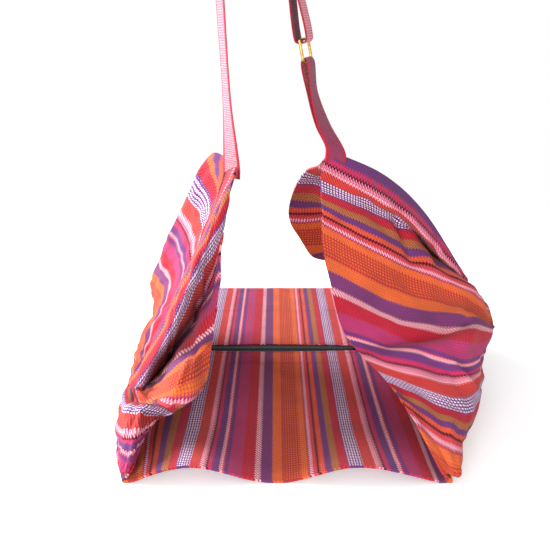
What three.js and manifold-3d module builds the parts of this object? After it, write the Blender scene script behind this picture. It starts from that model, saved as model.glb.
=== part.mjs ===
// A yoga mat bag: one striped cloth whose two ends are folded and sewn into hoods,
// a zipped pocket in its floor, and a webbing shoulder strap with a ring and an adjuster.
// Millimetres, +Z up. +X runs along the bag, the mouth faces -Y, the origin is on the ground under the floor.
import * as THREE from "three";
import { mergeVertices } from "three/addons/utils/BufferGeometryUtils.js";
import Module from "manifold-3d";

const wasm = await Module();
wasm.setup();

// Cloth
const FLOOR_LENGTH = 326;
const PANEL_WIDTH = 516;
const HOOD_HEIGHT = 288;
const CLOTH_THICKNESS = 1.2;
const HEM_WAVE_HEIGHT = 18;
const FRONT_HEM_REACH = 12;
const CORNER_TUCK = 20;
const CLEARANCE = 0.3;

// Pocket under the floor
const POCKET_LENGTH = 290;
const POCKET_FRONT_Y = -32;
const POCKET_BACK_Y = 155;
const POCKET_RIM = 8;

// Zip
const ZIP_Y = 18;
const ZIP_LENGTH = 250;
const ZIP_SLOT_END_WIDTH = 12;
const ZIP_SLOT_MIDDLE_WIDTH = 20;
const TAPE_WIDTH = 15;
const TAPE_THICKNESS = 0.8;
const TAPE_OVERRUN = 6;
const COIL_WIDTH = 2.8;
const COIL_HEIGHT = 1.6;
const STOP_LENGTH = 4;
const STOP_WALL = 0.8;
const SLIDER_LENGTH = 13;
const SLIDER_WALL = 1.2;
const BRIDGE_WALL = 1;
const BRIDGE_WIDTH = 2.6;
const PULL_LENGTH = 28;
const PULL_WIDTH = 7;
const PULL_BAR = 1.3;

// Strap, ring and adjuster
const STRAP_WIDTH = 25;
const STRAP_THICKNESS = 1.6;
const STRAP_TAIL = 14;
const STRAP_INSET = 6;
const STRAP_Y = -75;
const TOP_Z = 625;
const LEFT_RUN_LEAN = 16;
const RING_X = 32;
const RING_Z = 392;
const RING_BAR = 3;
const RING_HEIGHT = 25;
const RING_SIDE_PLAY = 1.2;
const RING_SWING_PLAY = 4.2;
const RING_SLACK = 0.9;
const RUN_LEAN = 0.2;
const RUN_TURN = 0.35;
const TAB_BOW = -6;
const ADJUSTER_REACH = 118;
const ADJUSTER_TRAVEL = 25;
const ADJUSTER_BAR = 3;
const ADJUSTER_LENGTH = 24;
const ADJUSTER_SIDE = 2.6;
const SEWN_END_LENGTH = 26;

// Colours read from the photograph
const CLOTH_COLOUR = 0xc8433c;
const POCKET_COLOUR = 0x8e2f45;
const ZIP_COLOUR = 0x16161c;
const STRAP_COLOUR = 0xd96f7c;
const BRASS_COLOUR = 0xb98a45;

const up = new THREE.Vector3(0, 0, 1);
const vec = (x, y, z) => new THREE.Vector3(x, y, z);

// Directions of the strap's and the tab's width at the seams, and the way the tab's front faces.
const STRAP_SIDE = vec(-0.75, 0.65, 0).normalize();
const LEFT_RUN_SIDE = vec(-0.4, 0.92, 0).normalize();
const TAB_SIDE = vec(0.86, 0.3, -0.3).normalize();
const TAB_FACING = vec(0.3, -0.95, 0).normalize();

// The cloth is lofted over seven rails that run from one end seam to the other: the front hem, front flap,
// front fold, spine, rear fold, rear flap and rear hem.
const RAILS = 7;
const RAIL_PITCH = PANEL_WIDTH / (RAILS - 1);
const STEPS_ALONG = 3;
const STEPS_ACROSS = 4;
const CURVE_STEPS = 12;
const SPLINE_TENSION = 0.5;

// Each row is one height of a hood, from the floor up, with one place on each rail. A place is out from the
// middle, across and up, in percent of half the floor, half the cloth's width and the hood's height.
const RIGHT_HOOD = [
  [[97, -102, 4], [108, -103, 3], [114, -66, 2], [113, -33, 2], [110, 0, 2], [107, 34, 2], [100, 67, 2]],
  [[82, -79, 16], [110, -92, 9], [125, -76, 5], [136, -44, 9], [122, 4, 8], [113, 42, 8], [97, 75, 11]],
  [
    [71, -65, 21], [116, -79, 16], [139, -61, 13], [151, -32, 14],
    [142, -10, 17], [122, 22, 19], [88, 48, 26],
  ],
  [[47, -54, 34], [90, -62, 30], [129, -61, 25], [154, -34, 22], [140, -9, 28], [111, 20, 33], [65, 38, 38]],
  [[38, -45, 51], [91, -50, 38], [136, -50, 37], [158, -32, 28], [138, -8, 38], [102, 18, 45], [37, 30, 40]],
  [[32, -43, 66], [85, -40, 50], [132, -39, 40], [161, -28, 27], [128, -9, 47], [88, 14, 55], [21, 22, 52]],
  [[32, -39, 77], [91, -35, 59], [137, -31, 47], [158, -19, 34], [117, -10, 57], [74, 10, 66], [11, 16, 66]],
  [[31, -35, 87], [88, -24, 71], [126, -9, 49], [144, -5, 36], [112, -15, 66], [76, -6, 78], [19, -5, 86]],
  [
    [32, -32, 94], [88, -32, 76], [126, -28, 54], [141, -22, 45],
    [109, -18, 70], [76, -14, 84], [31, -20, 93],
  ],
];
const LEFT_HOOD = [
  [[84, -101, 4], [92, -101, 3], [104, -66, 2], [104, -33, 2], [104, 0, 2], [103, 34, 2], [100, 67, 2]],
  [[77, -86, 11], [86, -95, 11], [102, -78, 6], [107, -30, 5], [105, 4, 5], [102, 38, 6], [99, 66, 6]],
  [[69, -73, 9], [83, -79, 15], [100, -69, 11], [107, -40, 6], [107, 0, 8], [104, 28, 9], [104, 56, 10]],
  [[47, -80, 22], [65, -90, 24], [90, -66, 10], [103, -40, 11], [109, -11, 10], [105, 16, 12], [110, 42, 17]],
  [[41, -71, 34], [62, -86, 30], [89, -64, 12], [100, -41, 13], [104, -16, 16], [98, 9, 22], [109, 33, 25]],
  [[40, -62, 39], [65, -70, 29], [87, -59, 14], [96, -42, 14], [94, -20, 22], [85, 4, 33], [100, 25, 40]],
  [[35, -53, 62], [55, -39, 35], [78, -37, 15], [94, -50, 8], [80, -26, 28], [68, -5, 49], [82, 15, 60]],
  [[33, -47, 76], [51, -60, 58], [70, -67, 35], [91, -69, 18], [76, -33, 35], [51, -15, 69], [64, 2, 80]],
  [[29, -41, 87], [48, -53, 68], [70, -61, 43], [97, -65, 17], [74, -38, 39], [43, -22, 78], [45, -9, 96]],
];
// The end seam of each hood, from the strap to the tip, in the same percents.
const RIGHT_SEAM = [[37, -30, 100], [77, -21, 89], [107, -20, 74], [134, -23, 52]];
const LEFT_SEAM = [[26, -30, 94], [46, -39, 72], [68, -47, 45], [88, -54, 23]];

function hoodPoint([out, across, height], side) {
  return vec(
    (side * out * FLOOR_LENGTH) / 200,
    (across * PANEL_WIDTH) / 200,
    (height * HOOD_HEIGHT) / 100,
  );
}

// A closed solid of even thickness about a grid of points, or above it where a direction is given.
function sheetSolid(grid, thickness, direction) {
  const rows = grid.length;
  const columns = grid[0].length;
  const positions = [];
  const indices = [];
  for (const face of [1, -1]) {
    for (let i = 0; i < rows; i++) {
      for (let j = 0; j < columns; j++) {
        const along = grid[Math.min(i + 1, rows - 1)][j].clone().sub(grid[Math.max(i - 1, 0)][j]);
        const across = grid[i][Math.min(j + 1, columns - 1)].clone().sub(grid[i][Math.max(j - 1, 0)]);
        const normal = direction ?? along.cross(across).normalize();
        const share = direction ? (face + 1) / 2 : face / 2;
        const point = grid[i][j].clone().addScaledVector(normal, share * thickness);
        positions.push(point.x, point.y, point.z);
      }
    }
  }
  const at = (face, i, j) => face * rows * columns + i * columns + j;
  const quad = (a, b, c, d) => indices.push(a, b, c, a, c, d);
  for (let i = 0; i + 1 < rows; i++) {
    for (let j = 0; j + 1 < columns; j++) {
      quad(at(0, i, j), at(0, i + 1, j), at(0, i + 1, j + 1), at(0, i, j + 1));
      quad(at(1, i, j), at(1, i, j + 1), at(1, i + 1, j + 1), at(1, i + 1, j));
    }
    quad(at(0, i, 0), at(1, i, 0), at(1, i + 1, 0), at(0, i + 1, 0));
    const last = columns - 1;
    quad(at(0, i + 1, last), at(1, i + 1, last), at(1, i, last), at(0, i, last));
  }
  for (let j = 0; j + 1 < columns; j++) {
    quad(at(0, 0, j + 1), at(1, 0, j + 1), at(1, 0, j), at(0, 0, j));
    const last = rows - 1;
    quad(at(0, last, j), at(1, last, j), at(1, last, j + 1), at(0, last, j + 1));
  }
  const geometry = new THREE.BufferGeometry();
  geometry.setAttribute("position", new THREE.Float32BufferAttribute(positions, 3));
  geometry.setIndex(indices);
  geometry.computeVertexNormals();
  return geometry;
}

function smoothThrough(points, steps, kind = "catmullrom") {
  return new THREE.CatmullRomCurve3(points, false, kind, SPLINE_TENSION).getPoints(steps);
}

function toSolid(geometry) {
  const bare = geometry.clone();
  bare.deleteAttribute("normal");
  bare.deleteAttribute("uv");
  const merged = mergeVertices(bare, 1e-3);
  const mesh = new wasm.Mesh({
    numProp: 3,
    vertProperties: merged.attributes.position.array,
    triVerts: new Uint32Array(merged.index.array),
  });
  return new wasm.Manifold(mesh);
}

function toGeometry(solid) {
  const mesh = solid.getMesh();
  const geometry = new THREE.BufferGeometry();
  geometry.setAttribute("position", new THREE.Float32BufferAttribute(mesh.vertProperties, 3));
  geometry.setIndex(new THREE.Uint32BufferAttribute(mesh.triVerts, 1));
  geometry.computeVertexNormals();
  return geometry;
}

const bag = new THREE.Group();

function add(name, geometry, color, roughness = 0.85, metalness = 0) {
  const mesh = new THREE.Mesh(geometry, new THREE.MeshStandardMaterial({ color, roughness, metalness }));
  mesh.name = name;
  bag.add(mesh);
  return mesh;
}

function box(x0, x1, y0, y1, z0, z1) {
  const geometry = new THREE.BoxGeometry(x1 - x0, y1 - y0, z1 - z0);
  return geometry.translate((x0 + x1) / 2, (y0 + y1) / 2, (z0 + z1) / 2);
}

// Heights of the layers that lie on the ground under the zip.
const POCKET_TOP = CLOTH_THICKNESS;
const TAPE_BOTTOM = POCKET_TOP + CLEARANCE;
const TAPE_TOP = TAPE_BOTTOM + TAPE_THICKNESS;
const FLOOR_BOTTOM = TAPE_TOP + CLEARANCE;
const FLOOR_MIDDLE = FLOOR_BOTTOM + CLOTH_THICKNESS / 2;
const COIL_BOTTOM = TAPE_TOP + CLEARANCE;
const COIL_TOP = COIL_BOTTOM + COIL_HEIGHT;

// One end seam as seven places: out along the front layer and back along the rear layer, far enough apart
// to hold the strap's tail between them.
const SEAM_HALF_GAP = STRAP_THICKNESS / 2 + CLEARANCE + CLOTH_THICKNESS / 2;

function seamRow(seam, side) {
  const front = seam.map((place) => hoodPoint(place, side));
  const offset = vec(0, -SEAM_HALF_GAP, 0);
  const tip = front[front.length - 1];
  const frontRow = front.slice(0, -1).map((point) => point.clone().add(offset));
  const rearRow = front.slice(0, -1).map((point) => point.clone().sub(offset));
  return [...frontRow, tip, ...rearRow.reverse()];
}

// The floor lies flat over the pocket and comes down to the ground between its flaps and its two hems.
const HEM_LEVEL = CLOTH_THICKNESS / 2 + CLEARANCE;

function floorLevel(y) {
  const flat = PANEL_WIDTH / 2 - RAIL_PITCH;
  const share = THREE.MathUtils.clamp((Math.abs(y) - flat) / RAIL_PITCH, 0, 1);
  return THREE.MathUtils.lerp(FLOOR_MIDDLE, HEM_LEVEL, share);
}

// The floor's rows, from the left foot to the right foot. The front hem ripples and the other rails lie flat.
const FLOOR_ROWS = 4;

function floorRow(index) {
  const x = FLOOR_LENGTH * (index / FLOOR_ROWS - 0.5);
  const row = [];
  for (let rail = 0; rail < RAILS; rail++) {
    const onHem = rail === 0;
    const y = rail * RAIL_PITCH - PANEL_WIDTH / 2 - (onHem ? FRONT_HEM_REACH : 0);
    const ripple = onHem && index % 2 === 1 ? HEM_WAVE_HEIGHT : 0;
    const tuck = onHem && index === 0 ? CORNER_TUCK : 0;
    row.push(vec(x + tuck, y, floorLevel(y) + ripple));
  }
  return row;
}

function panelGrid() {
  const rows = [seamRow(LEFT_SEAM, -1)];
  for (const places of [...LEFT_HOOD].reverse()) {
    rows.push(places.map((place) => hoodPoint(place, -1)));
  }
  for (let index = 0; index <= FLOOR_ROWS; index++) {
    rows.push(floorRow(index));
  }
  for (const places of RIGHT_HOOD) {
    rows.push(places.map((place) => hoodPoint(place, 1)));
  }
  rows.push(seamRow(RIGHT_SEAM, 1));
  const rails = [];
  for (let rail = 0; rail < RAILS; rail++) {
    rails.push(smoothThrough(rows.map((row) => row[rail]), (rows.length - 1) * STEPS_ALONG));
  }
  const lifted = (point) => vec(point.x, point.y, Math.max(point.z, floorLevel(point.y)));
  return rails[0].map((_, i) => {
    const across = smoothThrough(rails.map((rail) => rail[i]), (RAILS - 1) * STEPS_ACROSS);
    return across.map(lifted);
  });
}

// The zip's slot in the floor is a lens that gapes in the middle.
function zipSlot() {
  const half = ZIP_LENGTH / 2;
  const end = ZIP_SLOT_END_WIDTH / 2;
  const bow = ZIP_SLOT_MIDDLE_WIDTH - end;
  const outline = new THREE.Shape();
  outline.moveTo(-half, -end);
  outline.quadraticCurveTo(0, -bow, half, -end);
  outline.lineTo(half, end);
  outline.quadraticCurveTo(0, bow, -half, end);
  outline.closePath();
  const depth = 4 * CLOTH_THICKNESS;
  const extrusion = { depth, bevelEnabled: false, curveSegments: CURVE_STEPS };
  const geometry = new THREE.ExtrudeGeometry(outline, extrusion);
  return geometry.translate(0, ZIP_Y, FLOOR_MIDDLE - depth / 2);
}

// The pocket backing is a flat tray whose rim is sewn up to the floor.
function pocketSolid() {
  const half = POCKET_LENGTH / 2;
  const xs = [-half, POCKET_RIM - half, half - POCKET_RIM, half];
  const ys = [POCKET_FRONT_Y, POCKET_FRONT_Y + POCKET_RIM, POCKET_BACK_Y - POCKET_RIM, POCKET_BACK_Y];
  const rimBottom = FLOOR_BOTTOM - CLEARANCE - CLOTH_THICKNESS;
  const onRim = (index) => index === 0 || index === xs.length - 1;
  const grid = xs.map((x, i) => ys.map((y, j) => vec(x, y, onRim(i) || onRim(j) ? rimBottom : 0)));
  return sheetSolid(grid, CLOTH_THICKNESS, up);
}

// The straight part of the strap above the ring has its own axes: up along the run, out to the right of it,
// and across its width. Places on it are measured from the middle of the ring.
const RING_CENTRE = vec(RING_X, STRAP_Y, RING_Z);
const runUp = vec(-RUN_LEAN, 0, 1).normalize();
const runAcross = vec(Math.sin(RUN_TURN), Math.cos(RUN_TURN), 0);
runAcross.addScaledVector(runUp, -runAcross.dot(runUp)).normalize();
const runOut = runAcross.clone().cross(runUp);
const runFrame = new THREE.Matrix4().makeBasis(runOut, runAcross, runUp).setPosition(RING_CENTRE);
const onRun = (height, out) => vec(out, 0, height).applyMatrix4(runFrame);

const RING_BAR_HEIGHT = (RING_HEIGHT - RING_BAR) / 2;
const BAR_TO_STRAP = RING_BAR / 2 + RING_SLACK + STRAP_THICKNESS / 2;
const LOOP_HALF = RING_BAR / 2 + RING_SWING_PLAY + STRAP_THICKNESS / 2;
const LAYER_OFFSET = STRAP_THICKNESS / 2 + CLEARANCE;
const ADJUSTER_BAR_OUT = LAYER_OFFSET + STRAP_THICKNESS / 2 + CLEARANCE + ADJUSTER_BAR / 2;
const BAR_TO_WRAP = ADJUSTER_BAR / 2 + CLEARANCE + STRAP_THICKNESS / 2;
const leftStrapPoint = hoodPoint(LEFT_SEAM[0], -1);
const rightStrapPoint = hoodPoint(RIGHT_SEAM[0], 1);

// Shares of the left run's height that the strap passes through.
const LEFT_RUN_SHARES = [0.2, 0.5, 0.8];
// The loop round the ring's upper bar: its shoulder in shares of the straight part's height and the loop's
// half width, then the turn as heights over its lowest place and places out, in shares of that half width.
const LOOP_SHOULDER = [0.6, 0.7];
const LOOP_TURN = [[1.5, 1], [0.3, 0.88], [0, 0.5]];
// The turn over the adjuster's middle bar, in shares of the distance from the bar to the strap's middle.
const WRAP_RISE = 0.6 * BAR_TO_WRAP;
const WRAP_NEAR = 0.2 * BAR_TO_WRAP;
const WRAP_FAR = 0.8 * BAR_TO_WRAP;

// The shoulder strap: out of the left hood, over the top, down through the adjuster, round the ring's upper
// bar and back up to the adjuster's middle bar, where its end is turned over and sewn.
function strapPath(tail) {
  const low = RING_BAR_HEIGHT - BAR_TO_STRAP;
  const straightFrom = ADJUSTER_REACH - ADJUSTER_TRAVEL - ADJUSTER_LENGTH / 2;
  const straightTo = ADJUSTER_REACH + ADJUSTER_TRAVEL + ADJUSTER_LENGTH / 2;
  const sewnOut = -LAYER_OFFSET - STRAP_THICKNESS - CLEARANCE;
  const start = leftStrapPoint.clone().add(vec(-STRAP_INSET, STRAP_INSET, 0));
  const leftRun = (share) => {
    const height = THREE.MathUtils.lerp(start.z, TOP_Z, share);
    return vec(start.x - share * LEFT_RUN_LEAN, STRAP_Y, height);
  };
  const leftTop = leftRun(1);
  const [shoulderHeight, shoulderOut] = LOOP_SHOULDER;
  const loopSide = (side) => [
    onRun(straightFrom, side * LAYER_OFFSET),
    onRun(straightFrom * shoulderHeight, side * LOOP_HALF * shoulderOut),
    ...LOOP_TURN.map(([height, out]) => onRun(low + LOOP_HALF * height, side * LOOP_HALF * out)),
  ];
  const points = [
    start.clone().addScaledVector(up, -tail),
    start,
    ...LEFT_RUN_SHARES.map(leftRun),
    vec(leftTop.x + LOOP_HALF / 2, STRAP_Y, TOP_Z - LOOP_HALF),
    vec((leftTop.x + onRun(straightTo, 0).x) / 2, STRAP_Y, TOP_Z),
    onRun(straightTo + ADJUSTER_LENGTH, LAYER_OFFSET),
    onRun(straightTo, LAYER_OFFSET),
    onRun((straightFrom + straightTo) / 2, LAYER_OFFSET),
    ...loopSide(1),
    ...loopSide(-1).reverse(),
    onRun(ADJUSTER_REACH - BAR_TO_WRAP, -LAYER_OFFSET),
    onRun(ADJUSTER_REACH + WRAP_RISE, -LAYER_OFFSET - WRAP_NEAR),
    onRun(ADJUSTER_REACH + BAR_TO_WRAP, -ADJUSTER_BAR_OUT),
    onRun(ADJUSTER_REACH + WRAP_RISE, -ADJUSTER_BAR_OUT - WRAP_FAR),
    onRun(ADJUSTER_REACH - BAR_TO_WRAP, -ADJUSTER_BAR_OUT - WRAP_FAR),
    onRun(ADJUSTER_REACH - ADJUSTER_LENGTH / 2, sewnOut - CLEARANCE),
    onRun(ADJUSTER_REACH - SEWN_END_LENGTH, sewnOut),
  ];
  const seamSides = [STRAP_SIDE, STRAP_SIDE];
  const leftSides = LEFT_RUN_SHARES.map(() => LEFT_RUN_SIDE);
  const sides = points.map((_, i) => ([...seamSides, ...leftSides][i] ?? runAcross).clone());
  return { points, sides };
}

// Shares of the tab's length that its two layers pass through, and how fast they turn towards the ring.
const TAB_SHARES = [0, 0.3, 0.65, 1];
const TAB_TWIST = 2;

// The tab: two layers out of the right hood, joined by a turn over the ring's lower bar.
function tabPath(tail) {
  const start = rightStrapPoint.clone().add(vec(STRAP_INSET, 0, 0));
  const end = onRun(-RING_BAR_HEIGHT, 0);
  const turn = (share) => Math.min(1, TAB_TWIST * share);
  const layer = (share, side) => {
    const spread = THREE.MathUtils.lerp(LAYER_OFFSET, BAR_TO_STRAP, share * share);
    const facing = TAB_FACING.clone().lerp(runOut, turn(share)).normalize();
    const bow = vec(TAB_BOW * 4 * share * (1 - share), 0, 0);
    return start.clone().lerp(end, share).add(bow).addScaledVector(facing, side * spread);
  };
  const rising = TAB_SHARES.map((share) => layer(share, 1));
  const falling = TAB_SHARES.map((share) => layer(share, -1)).reverse();
  const below = (point) => point.clone().addScaledVector(up, -tail);
  const points = [
    below(rising[0]),
    ...rising,
    onRun(-RING_BAR_HEIGHT + BAR_TO_STRAP, 0),
    ...falling,
    below(falling[falling.length - 1]),
  ];
  const shares = [0, ...TAB_SHARES, 1, ...[...TAB_SHARES].reverse(), 0];
  const sides = shares.map((share) => TAB_SIDE.clone().lerp(runAcross, turn(share)).normalize());
  return { points, sides };
}

// A strap is a ribbon about a path, with its own side direction at each place.
function ribbon({ points, sides }, width, thickness, steps) {
  const path = smoothThrough(points, steps, "centripetal");
  const turn = smoothThrough(sides, steps);
  const grid = path.map((point, i) => {
    const side = turn[i].clone().normalize();
    return [point.clone().addScaledVector(side, -width / 2), point.clone().addScaledVector(side, width / 2)];
  });
  return sheetSolid(grid, thickness);
}

const STRAP_STEPS = 130;
const TAB_STEPS = 50;
const strap = ribbon(strapPath(STRAP_TAIL), STRAP_WIDTH, STRAP_THICKNESS, STRAP_STEPS);
const tab = ribbon(tabPath(STRAP_TAIL), STRAP_WIDTH, STRAP_THICKNESS, TAB_STEPS);

// The cloth keeps clear of the two tails that are sewn into its end seams.
const looseWidth = STRAP_WIDTH + 2 * CLEARANCE;
const looseThickness = STRAP_THICKNESS + 2 * CLEARANCE;
const looseTail = STRAP_TAIL + CLEARANCE;
const strapRoom = toSolid(ribbon(strapPath(looseTail), looseWidth, looseThickness, STRAP_STEPS));
const tabRoom = toSolid(ribbon(tabPath(looseTail), looseWidth, looseThickness, TAB_STEPS));
let panel = toSolid(sheetSolid(panelGrid(), CLOTH_THICKNESS)).subtract(toSolid(zipSlot()));
panel = panel.subtract(strapRoom).subtract(tabRoom);
const clothBodies = panel.decompose().sort((a, b) => b.volume() - a.volume());
add("main_panel", toGeometry(clothBodies[0]), CLOTH_COLOUR);
add("pocket_panel", pocketSolid(), POCKET_COLOUR);
add("shoulder_strap", strap, STRAP_COLOUR);
add("strap_tab", tab, STRAP_COLOUR);

// The zip: two tapes under the slot's edges, a coil on each, and a stop at each end.
const COIL_GAP = CLEARANCE / 2;
const COIL_OUTER = COIL_GAP + COIL_WIDTH;
for (const [place, side] of [["front", -1], ["back", 1]]) {
  const span = (width) => (side > 0 ? [ZIP_Y + COIL_GAP, ZIP_Y + width] : [ZIP_Y - width, ZIP_Y - COIL_GAP]);
  const tapeEnd = ZIP_LENGTH / 2 + TAPE_OVERRUN;
  const coilEnd = ZIP_LENGTH / 2 - CLEARANCE;
  const tape = box(-tapeEnd, tapeEnd, ...span(TAPE_WIDTH), TAPE_BOTTOM, TAPE_TOP);
  const coil = box(-coilEnd, coilEnd, ...span(COIL_OUTER), COIL_BOTTOM, COIL_TOP);
  add(`zip_tape_${place}`, tape, ZIP_COLOUR);
  add(`zip_coil_${place}`, coil, ZIP_COLOUR, 0.5);
}
const RIDE_BOTTOM = COIL_TOP + CLEARANCE;
for (const [place, side] of [["left", -1], ["right", 1]]) {
  const middle = side * (ZIP_LENGTH / 2 - STOP_LENGTH / 2 - CLEARANCE);
  const stop = box(-STOP_LENGTH / 2, STOP_LENGTH / 2, -COIL_OUTER, COIL_OUTER, 0, STOP_WALL);
  add(`zip_stop_${place}`, stop.translate(middle, ZIP_Y, RIDE_BOTTOM), ZIP_COLOUR, 0.4, 0.6);
}

// The zip slider: a channel over both coils with a bridge on top that holds the pull.
const SLIDER_X = ZIP_LENGTH / 2 - STOP_LENGTH - SLIDER_LENGTH / 2 - 4 * CLEARANCE;
const SLIDER_TOP = RIDE_BOTTOM + SLIDER_WALL;
const BRIDGE_ROOM = PULL_BAR + 4 * CLEARANCE;
const PULL_AXIS_Z = SLIDER_TOP + BRIDGE_ROOM / 2;

function sliderSolid() {
  const half = SLIDER_LENGTH / 2;
  const inner = COIL_OUTER + CLEARANCE;
  const outer = inner + SLIDER_WALL;
  const bridgeHalf = BRIDGE_ROOM / 2 + BRIDGE_WALL;
  const bridgeTop = SLIDER_TOP + BRIDGE_ROOM + BRIDGE_WALL;
  const channel = toSolid(box(-half, half, -outer, outer, COIL_BOTTOM, SLIDER_TOP));
  const room = toSolid(box(-SLIDER_LENGTH, SLIDER_LENGTH, -inner, inner, 0, RIDE_BOTTOM));
  const halfBridge = BRIDGE_WIDTH / 2;
  const bridge = toSolid(box(-bridgeHalf, bridgeHalf, -halfBridge, halfBridge, RIDE_BOTTOM, bridgeTop));
  const eye = toSolid(
    box(-BRIDGE_ROOM / 2, BRIDGE_ROOM / 2, -BRIDGE_WIDTH, BRIDGE_WIDTH, SLIDER_TOP, SLIDER_TOP + BRIDGE_ROOM),
  );
  return toGeometry(channel.subtract(room).add(bridge).subtract(eye));
}
add("zip_slider", sliderSolid(), ZIP_COLOUR, 0.35, 0.8).position.set(SLIDER_X, ZIP_Y, 0);

// The pull is a plate with a window whose end bar lies in the bridge.
function pullSolid() {
  const halfWidth = PULL_WIDTH / 2;
  const plate = new THREE.Shape();
  plate.moveTo(-PULL_BAR / 2, -halfWidth);
  plate.lineTo(PULL_LENGTH - halfWidth, -halfWidth);
  plate.absarc(PULL_LENGTH - halfWidth, 0, halfWidth, -Math.PI / 2, Math.PI / 2, false);
  plate.lineTo(-PULL_BAR / 2, halfWidth);
  plate.closePath();
  const halfWindow = BRIDGE_WIDTH / 2 + 2 * CLEARANCE;
  const windowEnd = BRIDGE_ROOM + 2 * BRIDGE_WALL + PULL_BAR;
  const window = new THREE.Path();
  window.moveTo(PULL_BAR / 2, -halfWindow);
  window.lineTo(PULL_BAR / 2, halfWindow);
  window.lineTo(windowEnd, halfWindow);
  window.lineTo(windowEnd, -halfWindow);
  window.closePath();
  plate.holes.push(window);
  const extrusion = { depth: PULL_BAR, bevelEnabled: false, curveSegments: CURVE_STEPS };
  const geometry = new THREE.ExtrudeGeometry(plate, extrusion);
  return geometry.translate(0, 0, -PULL_BAR / 2);
}
add("zip_pull", pullSolid(), ZIP_COLOUR, 0.35, 0.8).position.set(SLIDER_X, ZIP_Y, PULL_AXIS_Z);

// The ring is a round bar bent into a rounded oblong that the strap's full width fits.
function ringSolid() {
  const halfAcross = STRAP_WIDTH / 2 + RING_SIDE_PLAY + RING_BAR / 2;
  const around = 36;
  const sides = 8;
  const squareness = 0.25;
  const positions = [];
  const indices = [];
  const oblong = (turn) => {
    const power = (value) => Math.sign(value) * Math.pow(Math.abs(value), squareness);
    return vec(0, halfAcross * power(Math.cos(turn)), RING_BAR_HEIGHT * power(Math.sin(turn)));
  };
  const step = (2 * Math.PI) / around;
  for (let i = 0; i < around; i++) {
    const centre = oblong(i * step);
    const along = oblong((i + 0.5) * step).sub(oblong((i - 0.5) * step)).normalize();
    const outward = vec(1, 0, 0).cross(along).normalize();
    for (let j = 0; j < sides; j++) {
      const angle = (2 * Math.PI * j) / sides;
      const point = centre.clone().addScaledVector(outward, (Math.cos(angle) * RING_BAR) / 2);
      point.x += (Math.sin(angle) * RING_BAR) / 2;
      positions.push(point.x, point.y, point.z);
      const next = (i + 1) % around;
      const turned = (j + 1) % sides;
      const [a, b, c, d] = [i * sides + j, next * sides + j, next * sides + turned, i * sides + turned];
      indices.push(a, c, b, a, d, c);
    }
  }
  const geometry = new THREE.BufferGeometry();
  geometry.setAttribute("position", new THREE.Float32BufferAttribute(positions, 3));
  geometry.setIndex(indices);
  geometry.computeVertexNormals();
  return geometry.applyMatrix4(runFrame);
}
add("strap_ring", ringSolid(), BRASS_COLOUR, 0.3, 1);

// The adjuster: two side plates, a middle bar behind the strap and two outer bars in front of it.
function adjusterSolid() {
  const inner = STRAP_WIDTH / 2 + 2 * CLEARANCE;
  const outer = inner + ADJUSTER_SIDE;
  const depth = ADJUSTER_BAR_OUT + ADJUSTER_BAR / 2;
  const reach = ADJUSTER_LENGTH / 2;
  const plate = (side) => {
    const [from, to] = side > 0 ? [inner, outer] : [-outer, -inner];
    return toSolid(box(-depth, depth, from, to, -reach, reach));
  };
  const bar = (out, height) => {
    const rod = new THREE.CylinderGeometry(ADJUSTER_BAR / 2, ADJUSTER_BAR / 2, inner + outer, CURVE_STEPS);
    return toSolid(rod.translate(out, 0, height));
  };
  const end = reach - ADJUSTER_BAR / 2;
  const solid = plate(1)
    .add(plate(-1))
    .add(bar(-ADJUSTER_BAR_OUT, 0))
    .add(bar(ADJUSTER_BAR_OUT, end))
    .add(bar(ADJUSTER_BAR_OUT, -end));
  return toGeometry(solid).translate(0, 0, ADJUSTER_REACH).applyMatrix4(runFrame);
}
add("strap_slider", adjusterSolid(), BRASS_COLOUR, 0.3, 1);

export default bag;
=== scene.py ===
"""Looks of a yoga mat bag: striped cloth with two hoods, a zipped floor pocket and a webbing strap."""
import math

import bpy
import numpy as np
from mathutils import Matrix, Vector


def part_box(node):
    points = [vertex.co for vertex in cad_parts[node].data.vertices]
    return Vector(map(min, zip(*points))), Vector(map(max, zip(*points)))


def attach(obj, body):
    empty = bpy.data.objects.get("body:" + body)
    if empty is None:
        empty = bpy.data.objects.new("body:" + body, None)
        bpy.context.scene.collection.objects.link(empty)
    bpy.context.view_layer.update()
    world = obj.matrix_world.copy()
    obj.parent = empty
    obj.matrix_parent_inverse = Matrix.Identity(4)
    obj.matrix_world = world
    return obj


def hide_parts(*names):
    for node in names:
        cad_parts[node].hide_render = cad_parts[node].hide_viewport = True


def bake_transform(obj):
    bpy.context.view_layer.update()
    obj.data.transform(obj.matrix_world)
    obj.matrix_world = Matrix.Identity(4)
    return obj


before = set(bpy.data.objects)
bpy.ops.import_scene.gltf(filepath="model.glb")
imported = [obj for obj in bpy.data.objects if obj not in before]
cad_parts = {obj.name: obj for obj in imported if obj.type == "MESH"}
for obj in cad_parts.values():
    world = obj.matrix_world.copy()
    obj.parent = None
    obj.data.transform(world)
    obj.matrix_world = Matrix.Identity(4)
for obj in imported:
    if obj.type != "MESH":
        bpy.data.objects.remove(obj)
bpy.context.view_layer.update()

# Cloth, in metres
FLOOR_LENGTH = 0.326
PANEL_WIDTH = 0.516
HOOD_HEIGHT = 0.288
CLOTH_THICKNESS = 0.0012
CLEARANCE = 0.0003
HEM_WAVE_HEIGHT = 0.018
FRONT_HEM_REACH = 0.012
CORNER_TUCK = 0.020
HEM_WIDTH = 0.014
RAILS = 7
RAIL_PITCH = PANEL_WIDTH / (RAILS - 1)
FLOOR_ROWS = 4
CELLS_PER_ROW = 12
CELLS_PER_RAIL = 20

# Stripes
REPEAT = 0.166
YARN_PITCH = 0.0037
ROW_PITCH = 0.0026

# Zip
ZIP_Y = 0.018
ZIP_LENGTH = 0.250
ZIP_SLOT_END_WIDTH = 0.012
ZIP_SLOT_MIDDLE_WIDTH = 0.024

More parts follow.
